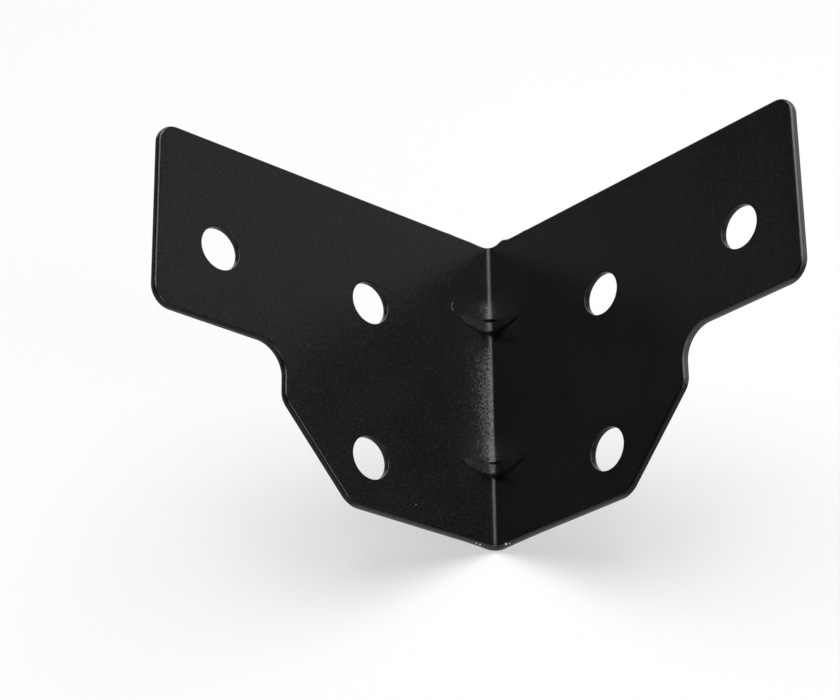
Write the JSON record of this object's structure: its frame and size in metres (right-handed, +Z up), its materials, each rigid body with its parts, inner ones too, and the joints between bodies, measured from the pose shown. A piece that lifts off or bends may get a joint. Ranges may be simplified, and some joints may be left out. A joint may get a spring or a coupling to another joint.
{
  "type": "flight case corner",
  "caption": "Folded steel corner bracket: wings at a right angle with stepped outlines and screw holes, braced by pressed gussets, for the inside corner of a flight case.",
  "frame": {"origin": "where the planes of the wings' outer faces meet the level of the foot's bottom edges, in the case's inside corner", "axes": "+X along one wing, +Y along the other, +Z up the fold towards the long arms"},
  "size_m": [0.0708, 0.0708, 0.055],
  "materials": {
    "black_coat": "satin black powder coat"
  },
  "bodies": {
    "root": {"corner_bracket": "black_coat"}
  },
  "joints": []
}
